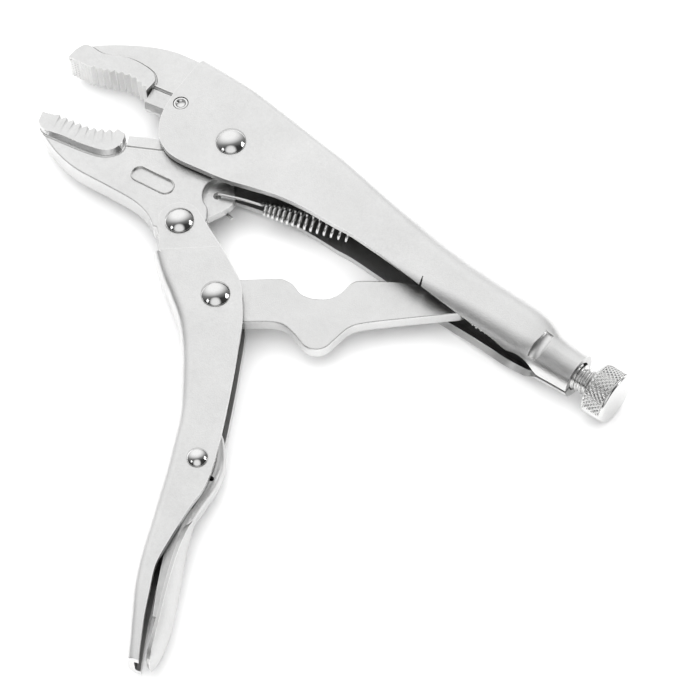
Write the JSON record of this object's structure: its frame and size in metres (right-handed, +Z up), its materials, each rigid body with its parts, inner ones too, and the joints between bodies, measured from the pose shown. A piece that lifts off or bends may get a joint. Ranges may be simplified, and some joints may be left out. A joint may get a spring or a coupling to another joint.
{
  "type": "locking pliers",
  "caption": "Curved-jaw locking pliers with toggle lever, release lever, return spring and knurled adjusting screw, lying open on one side.",
  "frame": {"origin": "middle of the tool's box in X and Y, on the surface it lies on", "axes": "+X along the adjusting screw towards its knob, +Y towards the back of the upper handle, +Z up along the rivets"},
  "size_m": [0.179, 0.1494, 0.0151],
  "materials": {
    "satin_nickel": "satin nickel plate on pressed steel",
    "forged_nickel": "satin nickel plate on forged steel",
    "bright_nickel": "bright nickel plate",
    "spring_steel": "plated spring wire"
  },
  "bodies": {
    "upper_body": {"upper_handle": "satin_nickel", "upper_jaw": "forged_nickel", "stake_pin": "bright_nickel", "jaw_pivot_rivet": "bright_nickel", "return_spring": "spring_steel"},
    "lower_jaw_body": {"lower_jaw": "forged_nickel", "lever_pivot_rivet": "bright_nickel"},
    "lever_body": {"lever_handle": "satin_nickel", "toggle_pivot_rivet": "bright_nickel", "release_pivot_rivet": "bright_nickel"},
    "toggle_body": {"toggle_link": "satin_nickel"},
    "release_body": {"release_lever": "satin_nickel"},
    "screw_body": {"adjusting_screw": "bright_nickel"},
    "knob_body": {"knurled_knob": "bright_nickel"}
  },
  "joints": [
    {"name": "jaw_pivot", "type": "hinge", "parent": "upper_body", "child": "lower_jaw_body", "pos_m": [-0.0359, 0.0569, 0.00745], "axis": [0, 0, 1], "range_deg": [-19.6, 0], "deforming": ["return_spring"]},
    {"name": "lever_pivot", "type": "hinge", "parent": "lower_jaw_body", "child": "lever_body", "pos_m": [-0.0314, 0.0298, 0.00745], "axis": [0, 0, 1], "range_deg": [0, 46]},
    {"name": "toggle_pivot", "type": "hinge", "parent": "lever_body", "child": "toggle_body", "pos_m": [-0.0096, 0.0177, 0.00745], "axis": [0, 0, 1], "range_deg": [-38, 0]},
    {"name": "release_pivot", "type": "hinge", "parent": "lever_body", "child": "release_body", "pos_m": [0.0168, -0.0224, 0.00745], "axis": [0, 0, 1], "range_deg": [0, 5]},
    {"name": "screw_feed", "type": "slide", "parent": "upper_body", "child": "screw_body", "axis": [1, 0, 0], "range_m": [0, 0.0084]},
    {"name": "knob_turn", "type": "hinge", "parent": "screw_body", "child": "knob_body", "pos_m": [0.086, 0.0547, 0.00745], "axis": [-1, 0, 0], "range_deg": [0, 2160]}
  ],
  "couplings": [
    {"joint": "jaw_pivot", "follows": "lever_pivot", "ratio": -0.4232},
    {"joint": "toggle_pivot", "follows": "lever_pivot", "ratio": -0.8209},
    {"joint": "knob_turn", "follows": "screw_feed", "rad_per_m": 4488}
  ]
}
